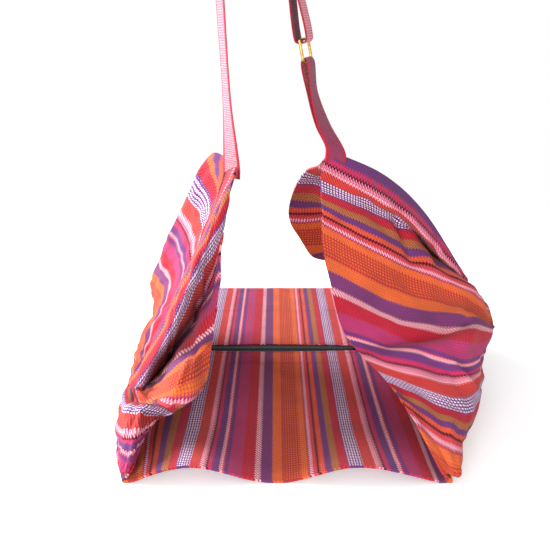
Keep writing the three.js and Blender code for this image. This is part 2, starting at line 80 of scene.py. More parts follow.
# Strap
STRAP_WIDTH = 0.025
STRAP_THICKNESS = 0.0016
STRAP_TAIL = 0.014
STRAP_INSET = 0.006
STRAP_Y = -0.075
TOP_Z = 0.625
LEFT_RUN_LEAN = 0.016
RING_CENTRE = Vector((0.032, STRAP_Y, 0.392))
RING_BAR = 0.003
RING_HEIGHT = 0.025
RING_SIDE_PLAY = 0.0012
RING_SWING_PLAY = 0.0042
RING_SLACK = 0.0009
RUN_LEAN = 0.2
RUN_TURN = 0.35
TAB_BOW = -0.006
ADJUSTER_REACH = 0.118
ADJUSTER_TRAVEL = 0.025
ADJUSTER_BAR = 0.003
ADJUSTER_LENGTH = 0.024
SEWN_END_LENGTH = 0.026

# Each row is one height of a hood, from the floor up, with a place on each of the seven rails that run from
# seam to seam: front hem, front flap, front fold, spine, rear fold, rear flap, rear hem. A place is out,
# across and up, in percent of half the floor, half the width and the hood's height.
RIGHT_HOOD = [
    [[97, -102, 4], [108, -103, 3], [114, -66, 2], [113, -33, 2], [110, 0, 2], [107, 34, 2], [100, 67, 2]],
    [[82, -79, 16], [110, -92, 9], [125, -76, 5], [136, -44, 9], [122, 4, 8], [113, 42, 8], [97, 75, 11]],
    [
        [71, -65, 21], [116, -79, 16], [139, -61, 13], [151, -32, 14],
        [142, -10, 17], [122, 22, 19], [88, 48, 26],
    ],
    [
        [47, -54, 34], [90, -62, 30], [129, -61, 25], [154, -34, 22],
        [140, -9, 28], [111, 20, 33], [65, 38, 38],
    ],
    [
        [38, -45, 51], [91, -50, 38], [136, -50, 37], [158, -32, 28],
        [138, -8, 38], [102, 18, 45], [37, 30, 40],
    ],
    [[32, -43, 66], [85, -40, 50], [132, -39, 40], [161, -28, 27], [128, -9, 47], [88, 14, 55], [21, 22, 52]],
    [
        [32, -39, 77], [91, -35, 59], [137, -31, 47], [158, -19, 34],
        [117, -10, 57], [74, 10, 66], [11, 16, 66],
    ],
    [[31, -35, 87], [88, -24, 71], [126, -9, 49], [144, -5, 36], [112, -15, 66], [76, -6, 78], [19, -5, 86]],
    [
        [32, -32, 94], [88, -32, 76], [126, -28, 54], [141, -22, 45],
        [109, -18, 70], [76, -14, 84], [31, -20, 93],
    ],
]
LEFT_HOOD = [
    [[84, -101, 4], [92, -101, 3], [104, -66, 2], [104, -33, 2], [104, 0, 2], [103, 34, 2], [100, 67, 2]],
    [[77, -86, 11], [86, -95, 11], [102, -78, 6], [107, -30, 5], [105, 4, 5], [102, 38, 6], [99, 66, 6]],
    [[69, -73, 9], [83, -79, 15], [100, -69, 11], [107, -40, 6], [107, 0, 8], [104, 28, 9], [104, 56, 10]],
    [
        [47, -80, 22], [65, -90, 24], [90, -66, 10], [103, -40, 11],
        [109, -11, 10], [105, 16, 12], [110, 42, 17],
    ],
    [[41, -71, 34], [62, -86, 30], [89, -64, 12], [100, -41, 13], [104, -16, 16], [98, 9, 22], [109, 33, 25]],
    [[40, -62, 39], [65, -70, 29], [87, -59, 14], [96, -42, 14], [94, -20, 22], [85, 4, 33], [100, 25, 40]],
    [[35, -53, 62], [55, -39, 35], [78, -37, 15], [94, -50, 8], [80, -26, 28], [68, -5, 49], [82, 15, 60]],
    [[33, -47, 76], [51, -60, 58], [70, -67, 35], [91, -69, 18], [76, -33, 35], [51, -15, 69], [64, 2, 80]],
    [[29, -41, 87], [48, -53, 68], [70, -61, 43], [97, -65, 17], [74, -38, 39], [43, -22, 78], [45, -9, 96]],
]
RIGHT_SEAM = [[37, -30, 100], [77, -21, 89], [107, -20, 74], [134, -23, 52]]
LEFT_SEAM = [[26, -30, 94], [46, -39, 72], [68, -47, 45], [88, -54, 23]]

# Stripe repeats at each row of the cloth, from the left seam over the floor to the right seam.
LEFT_PHASES = [-2.25, -2.12, -2.0, -1.82, -1.56, -1.365, -1.25, -1.0, -0.853, -0.63]
FLOOR_PHASES = [-0.45, 1.515]
RIGHT_PHASES = [1.63, 1.79, 2.0, 2.25, 2.46, 2.62, 2.79, 3.0, 3.12, 3.21]

# Yarn colours, as sRGB
RED = (200, 42, 58)
SCARLET = (214, 70, 58)
CRIMSON = (134, 20, 48)
MAGENTA = (190, 52, 104)
PURPLE = (94, 52, 122)
PLUM = (122, 56, 98)
ORANGE = (222, 110, 48)
RUST = (168, 52, 40)
OLIVE = (170, 116, 66)
PINK = (240, 176, 186)
BLACK = (28, 12, 20)
PALE = (246, 220, 230)

# Each stripe starts at a share of the repeat and has a main yarn and a second yarn that shows as dashes.
STRIPES = [
    (0.000, PURPLE, PURPLE),
    (0.042, SCARLET, CRIMSON),
    (0.106, PINK, MAGENTA),
    (0.128, MAGENTA, PINK),
    (0.141, BLACK, CRIMSON),
    (0.155, MAGENTA, RED),
    (0.176, PURPLE, PLUM),
    (0.222, PINK, SCARLET),
    (0.240, MAGENTA, RED),
    (0.250, PURPLE, PLUM),
    (0.272, MAGENTA, PLUM),
    (0.345, RED, CRIMSON),
    (0.420, PINK, CRIMSON),
    (0.453, PLUM, PURPLE),
    (0.520, ORANGE, SCARLET),
    (0.580, RUST, RED),
    (0.692, ORANGE, SCARLET),
    (0.732, MAGENTA, CRIMSON),
    (0.745, PINK, MAGENTA),
    (0.760, SCARLET, MAGENTA),
    (0.783, BLACK, CRIMSON),
    (0.800, SCARLET, ORANGE),
    (0.830, PURPLE, PLUM),
    (0.868, OLIVE, RUST),
    (0.910, RED, CRIMSON),
    (0.958, PURPLE, PURPLE),
]


def linear(colour):
    """An sRGB colour of 0 to 255 as linear RGBA."""
    shares = [c / 255 for c in colour]
    return [s / 12.92 if s <= 0.04045 else ((s + 0.055) / 1.055) ** 2.4 for s in shares] + [1.0]


# Curves


def spline(points, places):
    """Catmull-Rom through points, read at places counted in points from the first."""
    points = np.asarray(points, float)
    padded = np.concatenate([[2 * points[0] - points[1]], points, [2 * points[-1] - points[-2]]])
    index = np.clip(np.floor(places).astype(int), 0, len(points) - 2)
    t = (places - index).reshape((-1,) + (1,) * (points.ndim - 1))
    p0, p1, p2, p3 = (padded[index + k] for k in range(4))
    m1, m2 = (p2 - p0) / 2, (p3 - p1) / 2
    return p1 + m1 * t + (3 * (p2 - p1) - 2 * m1 - m2) * t**2 + (2 * (p1 - p2) + m1 + m2) * t**3


def even_spline(points, places):
    """The same with centripetal spacing, which turns tight corners without loops."""
    points = np.asarray(points, float)
    padded = np.concatenate([[2 * points[0] - points[1]], points, [2 * points[-1] - points[-2]]])
    index = np.clip(np.floor(places).astype(int), 0, len(points) - 2)
    t = (places - index)[:, None]
    p0, p1, p2, p3 = (padded[index + k] for k in range(4))
    d0, d1, d2 = (
        np.sqrt(np.linalg.norm(b - a, axis=1))[:, None] for a, b in ((p0, p1), (p1, p2), (p2, p3))
    )
    m1 = d1 * ((p1 - p0) / d0 - (p2 - p0) / (d0 + d1) + (p2 - p1) / d1)
    m2 = d1 * ((p2 - p1) / d1 - (p3 - p1) / (d1 + d2) + (p3 - p2) / d2)
    return p1 + m1 * t + (3 * (p2 - p1) - 2 * m1 - m2) * t**2 + (2 * (p1 - p2) + m1 + m2) * t**3


def unit(vectors):
    return vectors / np.linalg.norm(vectors, axis=-1, keepdims=True)


# Cloth guide


def hood_point(place, side):
    out, across, height = place
    return [side * out * FLOOR_LENGTH / 200, across * PANEL_WIDTH / 200, height * HOOD_HEIGHT / 100]


SEAM_HALF_GAP = STRAP_THICKNESS / 2 + CLEARANCE + CLOTH_THICKNESS / 2
SEWN_HALF_GAP = CLOTH_THICKNESS / 2 + CLEARANCE / 3
FLOOR_MIDDLE = 0.0032
HEM_LEVEL = CLOTH_THICKNESS / 2 + CLEARANCE


def seam_row(seam, side):
    front = np.array([hood_point(place, side) for place in seam])
    gap = np.zeros((len(seam) - 1, 3))
    gap[:, 1] = SEWN_HALF_GAP
    gap[0, 1] = SEAM_HALF_GAP
    return np.concatenate([front[:-1] - gap, front[-1:], front[-2::-1] + gap[::-1]])


def floor_level(y):
    flat = PANEL_WIDTH / 2 - RAIL_PITCH
    share = np.clip((np.abs(y) - flat) / RAIL_PITCH, 0, 1)
    return FLOOR_MIDDLE + (HEM_LEVEL - FLOOR_MIDDLE) * share


def floor_row(index):
    rails = np.arange(RAILS)
    y = rails * RAIL_PITCH - PANEL_WIDTH / 2
    y[0] -= FRONT_HEM_REACH
    z = floor_level(y)
    if index % 2 == 1:
        z[0] += HEM_WAVE_HEIGHT
    x = np.full(RAILS, FLOOR_LENGTH * (index / FLOOR_ROWS - 0.5))
    if index == 0:
        x[0] += CORNER_TUCK
    return np.stack([x, y, z], axis=1)


def cloth_rows():
    rows = [seam_row(LEFT_SEAM, -1)]
    rows += [np.array([hood_point(p, -1) for p in row]) for row in reversed(LEFT_HOOD)]
    rows += [floor_row(index) for index in range(FLOOR_ROWS + 1)]
    rows += [np.array([hood_point(p, 1) for p in row]) for row in RIGHT_HOOD]
    rows.append(seam_row(RIGHT_SEAM, 1))
    return np.array(rows)


ROWS = cloth_rows()
ROW_PHASES = LEFT_PHASES + list(np.linspace(*FLOOR_PHASES, FLOOR_ROWS + 1)) + RIGHT_PHASES


def cloth_surface(along, across):
    """Places on the cloth for shares of its length and width, lifted clear of the layers below."""
    rails = spline(ROWS, along * (len(ROWS) - 1))
    points = np.stack([spline(row, across * (RAILS - 1)) for row in rails])
    points[..., 2] = np.maximum(points[..., 2], floor_level(points[..., 1]))
    return points


# Folds from one place on the cloth to another, each place as stripe repeats and rails, with the fold's
# height and half width in metres. A fold below zero is a crease.
FOLDS = [
    ((2.06, -0.1), (2.44, 2.3), 0.011, 0.013),
    ((2.15, -0.1), (2.52, 2.3), -0.013, 0.008),
    ((3.06, 0.92), (2.72, 1.15), -0.007, 0.007),
    ((3.04, 1.12), (2.68, 1.45), 0.006, 0.011),
    ((2.30, 1.55), (2.02, 1.75), 0.006, 0.010),
    ((1.96, 0.75), (1.64, 0.95), 0.005, 0.010),
    ((-1.30, -0.1), (-1.18, 1.4), 0.007, 0.010),
    ((-1.16, 0.0), (-1.06, 1.4), -0.008, 0.007),
]
FOLD_FADE = 4
# Fine wrinkles, each with its height and length in metres, its direction and its start in radians.
WRINKLES = [(0.0011, 0.052, 0.9, 0.3), (0.0008, 0.031, 2.2, 1.7), (0.0006, 0.021, 0.4, 4.0)]
WRINKLE_SWAY = 1.5
SWAY_RATE = 2.7
FLOOR_WRINKLE_SHARE = 0.15
FLOOR_MIDDLE_PHASE = 0.53
FLOOR_HALF_PHASE = 0.9
HOOD_RAMP = 4


def crumple(surface, phases):
    """Lifts folds and fine wrinkles along the outward direction of the cloth."""
    along = np.gradient(surface, axis=0)
    across = np.gradient(surface, axis=1)
    outward = -unit(np.cross(along, across))
    metres_along = np.broadcast_to((phases * REPEAT)[:, None], surface.shape[:2])
    metres_across = np.broadcast_to(np.linspace(0, PANEL_WIDTH, surface.shape[1]), surface.shape[:2])
    lift = np.zeros(surface.shape[:2])
    for start, end, height, width in FOLDS:
        begin = np.array([start[0] * REPEAT, start[1] * RAIL_PITCH])
        reach = np.array([end[0] * REPEAT, end[1] * RAIL_PITCH]) - begin
        length = np.linalg.norm(reach)
        u = ((metres_along - begin[0]) * reach[0] + (metres_across - begin[1]) * reach[1]) / length**2
        d = ((metres_along - begin[0]) * reach[1] - (metres_across - begin[1]) * reach[0]) / length
        fade = np.clip(np.minimum(u, 1 - u) * FOLD_FADE, 0, 1)
        lift += height * np.exp(-((d / width) ** 2)) * fade * fade * (3 - 2 * fade)
    hood = np.clip((np.abs(phases - FLOOR_MIDDLE_PHASE) - FLOOR_HALF_PHASE) * HOOD_RAMP, 0, 1)[:, None]
    share = FLOOR_WRINKLE_SHARE + (1 - FLOOR_WRINKLE_SHARE) * hood
    for height, length, turn, start in WRINKLES:
        wave = metres_along * math.cos(turn) + metres_across * math.sin(turn)
        sway = np.sin(wave * SWAY_RATE / length + start * 2)
        lift += height * np.sin(wave * math.tau / length + start + WRINKLE_SWAY * sway) * share
    moved = surface + outward * lift[..., None]
    ends = np.minimum(np.arange(len(phases)), np.arange(len(phases))[::-1])
    kept = np.clip(ends / CELLS_PER_ROW, 0, 1)[:, None, None]
    moved = surface + (moved - surface) * kept
    moved[..., 2] = np.maximum(moved[..., 2], floor_level(moved[..., 1]))
    return moved


# Objects


def deselect():
    bpy.ops.object.select_all(action="DESELECT")


def active(obj):
    deselect()
    obj.select_set(True)
    bpy.context.view_layer.objects.active = obj


def new_grid(name, along_cells, across_cells):
    """A flat grid with its own UV map, x along and y across, both from 0 to 1."""
    deselect()
    bpy.ops.mesh.primitive_grid_add(x_subdivisions=along_cells, y_subdivisions=across_cells, size=1)
    obj = bpy.context.object
    obj.name = name
    obj.data.name = name
    return obj


def shares(obj):
    co = np.zeros(len(obj.data.vertices) * 3)
    obj.data.vertices.foreach_get("co", co)
    return co.reshape(-1, 3)[:, :2] + 0.5


def set_points(obj, points):
    obj.data.vertices.foreach_set("co", np.ascontiguousarray(points, np.float32).ravel())
    obj.data.update()


def set_uv(obj, values):
    """Writes one UV pair for each vertex to the object's UV map."""
    corners = np.zeros(len(obj.data.loops), int)
    obj.data.loops.foreach_get("vertex_index", corners)
    obj.data.uv_layers.active.data.foreach_set("uv", np.asarray(values, np.float32)[corners].ravel())


def apply_modifiers(obj):
    active(obj)
    for modifier in list(obj.modifiers):
        bpy.ops.object.modifier_apply(modifier=modifier.name)


def smooth(obj, degrees=40):
    active(obj)
    bpy.ops.object.shade_smooth_by_angle(angle=math.radians(degrees))


def finish_piece(obj, material, body, slot, *nodes):
    obj.data.materials.clear()
    obj.data.materials.append(material)
    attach(obj, body)
    if nodes:
        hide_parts(*nodes)
    return obj


# Node helpers


def new_material(name):
    material = bpy.data.materials.new(name)
    material.use_nodes = True
    tree = material.node_tree
    return material, tree, tree.nodes["Principled BSDF"]


def put(tree, socket, value):
    if isinstance(value, bpy.types.NodeSocket):
        tree.links.new(value, socket)
    elif value is not None:
        socket.default_value = value


def math_node(tree, operation, *values):
    node = tree.nodes.new("ShaderNodeMath")
    node.operation = operation
    for socket, value in zip(node.inputs, values):
        put(tree, socket, value)
    return node.outputs[0]


def mix_colour(tree, share, a, b, mode="MIX"):
    node = tree.nodes.new("ShaderNodeMix")
    node.data_type = "RGBA"
    node.blend_type = mode
    put(tree, node.inputs[0], share)
    put(tree, node.inputs[6], a)
    put(tree, node.inputs[7], b)
    return node.outputs[2]


def ramp(tree, value, stops, interpolation="CONSTANT"):
    node = tree.nodes.new("ShaderNodeValToRGB")
    node.color_ramp.interpolation = interpolation
    elements = node.color_ramp.elements
    while len(elements) > 1:
        elements.remove(elements[-1])
    elements[0].position = stops[0][0]
    elements[0].color = stops[0][1]
    for position, colour in stops[1:]:
        elements.new(position).color = colour
    put(tree, node.inputs[0], value)
    return node.outputs[0]


def noise(tree, vector, scale, detail=2.0):
    node = tree.nodes.new("ShaderNodeTexNoise")
    put(tree, node.inputs["Vector"], vector)
    node.inputs["Scale"].default_value = scale
    node.inputs["Detail"].default_value = detail
    return node.outputs["Fac"]


def coordinates(tree, kind):
    return tree.nodes.new("ShaderNodeTexCoord").outputs[kind]


def split(tree, vector):
    node = tree.nodes.new("ShaderNodeSeparateXYZ")
    put(tree, node.inputs[0], vector)
    return node.outputs[0], node.outputs[1]


def bump(tree, shader, height, distance, strength=1.0):
    node = tree.nodes.new("ShaderNodeBump")
    node.inputs["Strength"].default_value = strength
    node.inputs["Distance"].default_value = distance
    put(tree, node.inputs["Height"], height)
    put(tree, shader.inputs["Normal"], node.outputs[0])


def band(tree, value, low, high):
    """1 where the value lies between two limits."""
    above = math_node(tree, "GREATER_THAN", value, low)
    below = math_node(tree, "LESS_THAN", value, high)
    return math_node(tree, "MULTIPLY", above, below)


# Materials


def striped_cloth():
    """Hand-loomed cotton. The UV map holds stripe repeats and metres across the cloth."""
    material, tree, shader = new_material("striped_cloth")
    phase, across = split(tree, coordinates(tree, "UV"))
    place = coordinates(tree, "Object")
    dye = noise(tree, place, 26.0)
    fibre = noise(tree, place, 900.0, 3.0)
    drift = math_node(tree, "MULTIPLY_ADD", noise(tree, place, 45.0), 0.0020, -0.0010)
    across = math_node(tree, "ADD", across, drift)

    zigzag = math_node(tree, "PINGPONG", across, YARN_PITCH / 2)
    swing = math_node(tree, "MULTIPLY", zigzag, 1.1 / REPEAT)
    stripe = math_node(tree, "FRACT", math_node(tree, "ADD", phase, swing))
    main = ramp(tree, stripe, [(at, linear(colour)) for at, colour, _ in STRIPES])
    second = ramp(tree, stripe, [(at, linear(colour)) for at, _, colour in STRIPES])

    rows = math_node(tree, "MULTIPLY", phase, REPEAT / ROW_PITCH)
    fine_rows = math_node(tree, "MULTIPLY", rows, 1.25)
    along = math_node(tree, "DIVIDE", across, YARN_PITCH)
    slant = math_node(tree, "MULTIPLY_ADD", fine_rows, 0.5, along)
    dash_wave = math_node(tree, "PINGPONG", slant, 0.5)
    row_wave = math_node(tree, "PINGPONG", fine_rows, 0.5)
    dash = math_node(tree, "GREATER_THAN", dash_wave, 0.30)
    woven = mix_colour(tree, math_node(tree, "MULTIPLY", dash, 0.8), main, second)

    dot_row = math_node(tree, "PINGPONG", rows, 0.5)
    dot_along = math_node(tree, "PINGPONG", along, 0.5)
    dot = math_node(
        tree,
        "MULTIPLY",
        math_node(tree, "GREATER_THAN", dot_row, 0.20),
        math_node(tree, "GREATER_THAN", dot_along, 0.20),
    )
    plain_stripe = math_node(tree, "FRACT", phase)
    wrapped = math_node(tree, "FRACT", math_node(tree, "ADD", phase, 0.5))
    on_purple = math_node(tree, "MULTIPLY", dot, band(tree, wrapped, 0.46, 0.54))
    on_rust = math_node(tree, "MULTIPLY", dot, band(tree, plain_stripe, 0.585, 0.69))
    woven = mix_colour(tree, on_purple, woven, linear(PALE))
    woven = mix_colour(tree, math_node(tree, "MULTIPLY", on_rust, 0.8), woven, linear(ORANGE))

    shadow = math_node(tree, "MULTIPLY", math_node(tree, "LESS_THAN", row_wave, 0.12), 0.35)
    woven = mix_colour(tree, shadow, woven, linear(CRIMSON))
    tone = math_node(tree, "MULTIPLY_ADD", dye, 0.40, math_node(tree, "MULTIPLY_ADD", fibre, 0.6, 0.42))
    shade = mix_colour(tree, 1.0, woven, tone, "MULTIPLY")
    put(tree, shader.inputs["Base Color"], shade)
    shader.inputs["Roughness"].default_value = 0.95
    shader.inputs["Specular IOR Level"].default_value = 0.12
    shader.inputs["Sheen Weight"].default_value = 0.08
    shader.inputs["Sheen Roughness"].default_value = 0.6
    knots = math_node(tree, "MULTIPLY", dash_wave, row_wave)
    height = math_node(tree, "MULTIPLY_ADD", fibre, 0.25, math_node(tree, "MULTIPLY", knots, 3.0))
    bump(tree, shader, height, 0.0008, 0.9)
    return material


def webbing():
    """Heather webbing, with a darker copy of the heather on one face as painted shade. The UV map holds the
    share of its width and metres along it.
    """
    material, tree, shader = new_material("webbing")
    width, along = split(tree, coordinates(tree, "UV"))
    place = coordinates(tree, "Object")
    rib = math_node(tree, "PINGPONG", along, 0.0011)
    rows = math_node(tree, "MULTIPLY", width, 11.0)
    chevron = math_node(tree, "PINGPONG", rows, 0.5)
    slanted = math_node(tree, "MULTIPLY_ADD", chevron, 0.5, math_node(tree, "MULTIPLY", along, 400.0))
    dash = math_node(tree, "PINGPONG", slanted, 0.5)
    heather = math_node(tree, "ADD", dash, noise(tree, place, 700.0, 3.0))
    stops = [
        (0.25, linear((158, 46, 78))),
        (0.7, linear((212, 104, 122))),
        (1.0, linear((232, 160, 170))),
    ]
    outer = ramp(tree, heather, stops, "LINEAR")
    # Painted shade: a darker copy of the heather for the marked inner face.
    stops = [(0.2, linear((84, 26, 50))), (0.8, linear((138, 52, 82)))]
    painted_shade = ramp(tree, heather, stops, "LINEAR")
    facing = tree.nodes.new("ShaderNodeAttribute")
    facing.attribute_name = "painted_shade_face"
    cloth = mix_colour(tree, facing.outputs["Fac"], outer, painted_shade)
    middle = math_node(tree, "ABSOLUTE", math_node(tree, "SUBTRACT", width, 0.5))
    selvedge = math_node(tree, "GREATER_THAN", middle, 0.38)
    cloth = mix_colour(tree, selvedge, cloth, linear((172, 22, 50)))
    put(tree, shader.inputs["Base Color"], cloth)
    shader.inputs["Roughness"].default_value = 0.85
    shader.inputs["Specular IOR Level"].default_value = 0.25
    shader.inputs["Sheen Weight"].default_value = 0.2
    ridge = math_node(tree, "MULTIPLY_ADD", rib, 500.0, dash)
    bump(tree, shader, ridge, 0.0004, 0.7)
    return material


def metal(name, low, high, roughness, metallic=1.0):
    material, tree, shader = new_material(name)
    place = coordinates(tree, "Object")
    wear = noise(tree, place, 260.0, 4.0)
    stops = [(0.35, linear(low)), (0.65, linear(high))]
    put(tree, shader.inputs["Base Color"], ramp(tree, wear, stops, "LINEAR"))
    shader.inputs["Metallic"].default_value = metallic
    grain = noise(tree, place, 1500.0)
    put(tree, shader.inputs["Roughness"], math_node(tree, "MULTIPLY_ADD", grain, 0.2, roughness))
    bump(tree, shader, wear, 0.0002, 0.25)
    return material


def zip_tape():
    material, tree, shader = new_material("zip_tape")
    place = coordinates(tree, "Object")
    x, y = split(tree, place)
    warp = math_node(tree, "PINGPONG", x, 0.0006)
    weft = math_node(tree, "PINGPONG", y, 0.0005)
    ribs = math_node(tree, "ADD", warp, weft)
    weave = math_node(tree, "MULTIPLY", ribs, 900.0)
    stops = [(0.0, linear((14, 14, 18))), (1.0, linear((40, 40, 48)))]
    put(tree, shader.inputs["Base Color"], ramp(tree, weave, stops, "LINEAR"))
    shader.inputs["Roughness"].default_value = 0.8
    bump(tree, shader, weave, 0.0002, 0.6)
    return material


def thread(name, colour):
    material, tree, shader = new_material(name)
    fibre = noise(tree, coordinates(tree, "Object"), 1800.0)
    dark = [c * 0.7 for c in colour]
    stops = [(0.3, linear(dark)), (0.7, linear(colour))]
    put(tree, shader.inputs["Base Color"], ramp(tree, fibre, stops, "LINEAR"))
    shader.inputs["Roughness"].default_value = 0.8
    return material


# Camera, floor and light


WORLD_LEVEL = 0.34
GROUND_FADE = (0.45, 1.1)
GROUND_GLOW = 0.3
LAMP_AIM = Vector((0, 0, 0.15))


WORLD_LEVEL = 0.34


WORLD_LEVEL = 0.62


WORLD_LEVEL = 0.62


WORLD_LEVEL = 0.62


WORLD_LEVEL = 0.62


def make_stage():
    camera = bpy.data.cameras.new("camera")
    camera.lens = 41.9
    camera.sensor_width = 36
    eye = bpy.data.objects.new("camera", camera)
    eye.location = (0, -0.783, 0.392)
    eye.rotation_euler = (math.radians(70.63), 0, 0)
    bpy.context.scene.collection.objects.link(eye)
    bpy.context.scene.camera = eye

    deselect()
    bpy.ops.mesh.primitive_plane_add(size=30)
    ground = bpy.context.object
    ground.name = "ground"
    material, tree, shader = new_material("pale_ground")
    shader.inputs["Base Color"].default_value = (0.93, 0.93, 0.935, 1)
    shader.inputs["Roughness"].default_value = 0.9
    measure = tree.nodes.new("ShaderNodeVectorMath")
    measure.operation = "LENGTH"
    put(tree, measure.inputs[0], coordinates(tree, "Object"))
    span = math_node(tree, "SUBTRACT", measure.outputs["Value"], GROUND_FADE[0])
    fade = math_node(tree, "DIVIDE", span, GROUND_FADE[1] - GROUND_FADE[0])
    path = tree.nodes.new("ShaderNodeLightPath")
    shader.inputs["Emission Color"].default_value = (1, 1, 1, 1)
    glow = math_node(tree, "MULTIPLY", path.outputs["Is Camera Ray"], GROUND_GLOW)
    put(tree, shader.inputs["Emission Strength"], glow)
    clear = tree.nodes.new("ShaderNodeBsdfTransparent")
    mixed = tree.nodes.new("ShaderNodeMixShader")
    put(tree, mixed.inputs[0], math_node(tree, "MINIMUM", math_node(tree, "MAXIMUM", fade, 0.0), 1.0))
    put(tree, mixed.inputs[1], shader.outputs[0])
    put(tree, mixed.inputs[2], clear.outputs[0])
    put(tree, tree.nodes["Material Output"].inputs["Surface"], mixed.outputs[0])
    ground.data.materials.append(material)

    world = bpy.data.worlds.new("studio")
    bpy.context.scene.world = world
    world.use_nodes = True
    tree = world.node_tree
    background = tree.nodes["Background"]
    background.inputs["Color"].default_value = (1, 1, 1, 1)
    path = tree.nodes.new("ShaderNodeLightPath")
    seen = math_node(tree, "ADD", path.outputs["Is Camera Ray"], path.outputs["Is Glossy Ray"])
    seen = math_node(tree, "ADD", seen, path.outputs["Is Transmission Ray"])
    seen = math_node(tree, "MINIMUM", seen, 1.0)
    level = math_node(tree, "MULTIPLY_ADD", seen, 1.0 - WORLD_LEVEL, WORLD_LEVEL)
    put(tree, background.inputs["Strength"], level)

    for name, place, power, size in (
        ("key", (-2.0, 0.6, 1.2), 110, 1.0),
        ("front", (-0.9, -2.2, 0.55), 46, 1.3),
        ("fill", (1.6, -1.6, 0.6), 9, 1.6),
    ):
        lamp = bpy.data.lights.new(name, "AREA")
        lamp.energy = power
        lamp.size = size
        light = bpy.data.objects.new(name, lamp)
        light.location = place
        light.rotation_euler = (LAMP_AIM - light.location).to_track_quat("-Z", "Y").to_euler()
        bpy.context.scene.collection.objects.link(light)
    bpy.context.scene.view_settings.view_transform = "Standard"


# Main cloth


def zip_cutter():
    """A lens-shaped block that opens the zip's slot in the floor."""
    cells = 24
    cutter = new_grid("zip_cutter", cells, 1)
    s = shares(cutter)
    x = (s[:, 0] - 0.5) * ZIP_LENGTH
    bow = 1 - (2 * s[:, 0] - 1) ** 2
    half = (ZIP_SLOT_END_WIDTH + (ZIP_SLOT_MIDDLE_WIDTH - ZIP_SLOT_END_WIDTH) * bow) / 2
    y = ZIP_Y + (2 * s[:, 1] - 1) * half
    set_points(cutter, np.stack([x, y, np.full(len(x), 0.0005)], axis=1))
    active(cutter)
    bpy.ops.object.mode_set(mode="EDIT")
    bpy.ops.mesh.select_all(action="SELECT")
    bpy.ops.mesh.extrude_region_move(TRANSFORM_OT_translate={"value": (0, 0, 0.008)})
    bpy.ops.mesh.select_all(action="SELECT")
    bpy.ops.mesh.normals_make_consistent(inside=False)
    bpy.ops.object.mode_set(mode="OBJECT")
    return cutter


def make_cloth(material):
    along_cells = (len(ROWS) - 1) * CELLS_PER_ROW
    across_cells = (RAILS - 1) * CELLS_PER_RAIL
    cloth = new_grid("bag_cloth", along_cells, across_cells)
    s = shares(cloth)
    i = np.rint(s[:, 0] * along_cells).astype(int)
    j = np.rint(s[:, 1] * across_cells).astype(int)
    surface = cloth_surface(np.linspace(0, 1, along_cells + 1), np.linspace(0, 1, across_cells + 1))
    row_places = np.linspace(0, len(ROWS) - 1, along_cells + 1)
    row_phases = np.interp(row_places, np.arange(len(ROWS)), ROW_PHASES)
    surface = crumple(surface, row_phases)
    set_points(cloth, surface[i, j])
    phases = row_phases[i]
    width = PANEL_WIDTH + FRONT_HEM_REACH
    steps = np.linalg.norm(np.diff(surface, axis=1), axis=2)
    run = np.concatenate([np.zeros((along_cells + 1, 1)), np.cumsum(steps, axis=1)], axis=1)
    set_uv(cloth, np.stack([phases, run[i, j]], axis=1))
    hem = cloth.vertex_groups.new(name="hem")
    for vertex, share in enumerate(s[:, 1]):
        near = min(share, 1 - share) * width
        hem.add([vertex], 1.0 if near < HEM_WIDTH else 0.0, "REPLACE")
    thick = cloth.modifiers.new("thickness", "SOLIDIFY")
    thick.thickness = 2 * CLOTH_THICKNESS
    thick.offset = 0
    thick.vertex_group = "hem"
    thick.thickness_vertex_group = 0.5
    cutter = zip_cutter()
    slot = cloth.modifiers.new("zip_slot", "BOOLEAN")
    slot.operation = "DIFFERENCE"
    slot.solver = "EXACT"
    slot.object = cutter
    apply_modifiers(cloth)
    bpy.data.objects.remove(cutter)
    smooth(cloth, 60)
    return finish_piece(cloth, material, "bag", "striped_cloth", "main_panel")


# Strap, tab and ring

RUN_UP = unit(np.array([-RUN_LEAN, 0, 1]))
RUN_ACROSS = np.array([math.sin(RUN_TURN), math.cos(RUN_TURN), 0])
RUN_ACROSS = unit(RUN_ACROSS - RUN_UP * (RUN_ACROSS @ RUN_UP))
RUN_OUT = np.cross(RUN_ACROSS, RUN_UP)
STRAP_SIDE = unit(np.array([-0.75, 0.65, 0]))
LEFT_RUN_SIDE = unit(np.array([-0.4, 0.92, 0]))
TAB_SIDE = unit(np.array([0.86, 0.3, -0.3]))
TAB_FACING = unit(np.array([0.3, -0.95, 0]))
RING_BAR_HEIGHT = (RING_HEIGHT - RING_BAR) / 2
BAR_TO_STRAP = RING_BAR / 2 + RING_SLACK + STRAP_THICKNESS / 2
LOOP_HALF = RING_BAR / 2 + RING_SWING_PLAY + STRAP_THICKNESS / 2
LAYER_OFFSET = STRAP_THICKNESS / 2 + CLEARANCE
ADJUSTER_BAR_OUT = LAYER_OFFSET + STRAP_THICKNESS / 2 + CLEARANCE + ADJUSTER_BAR / 2
BAR_TO_WRAP = ADJUSTER_BAR / 2 + CLEARANCE + STRAP_THICKNESS / 2
LEFT_RUN_SHARES = (0.2, 0.5, 0.8)
LOOP_SHOULDER = (0.6, 0.7)
LOOP_TURN = ((1.5, 1), (0.3, 0.88), (0, 0.5))
WRAP_RISE = 0.6 * BAR_TO_WRAP
WRAP_NEAR = 0.2 * BAR_TO_WRAP
WRAP_FAR = 0.8 * BAR_TO_WRAP
TAB_SHARES = (0, 0.3, 0.65, 1)
TAB_TWIST = 2
UP = np.array([0, 0, 1.0])


def on_run(height, out):
    return np.array(RING_CENTRE) + RUN_UP * height + RUN_OUT * out


